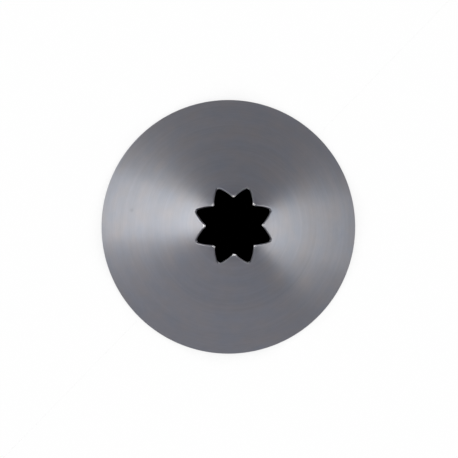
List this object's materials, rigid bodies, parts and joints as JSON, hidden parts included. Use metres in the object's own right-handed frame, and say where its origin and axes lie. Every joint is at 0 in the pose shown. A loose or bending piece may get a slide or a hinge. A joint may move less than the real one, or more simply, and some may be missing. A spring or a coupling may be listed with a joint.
{
  "type": "piping nozzle",
  "caption": "Tall brushed-steel cone, open at both ends, whose narrow end is cut into inward-leaning teeth that shape icing or cream into a star.",
  "frame": {"origin": "centre of the wide rim, on the plane that it stands on", "axes": "+Z along the nozzle's axis from the rim to the teeth, +X through the first tooth"},
  "size_m": [0.035, 0.035, 0.05],
  "materials": {
    "steel": "satin, brushed around the axis"
  },
  "bodies": {
    "root": {"base_cone": "steel", "tip_cone": "steel", "star_tooth_1": "steel", "star_tooth_2": "steel", "star_tooth_3": "steel", "star_tooth_4": "steel", "star_tooth_5": "steel", "star_tooth_6": "steel", "star_tooth_7": "steel", "star_tooth_8": "steel"}
  },
  "joints": []
}
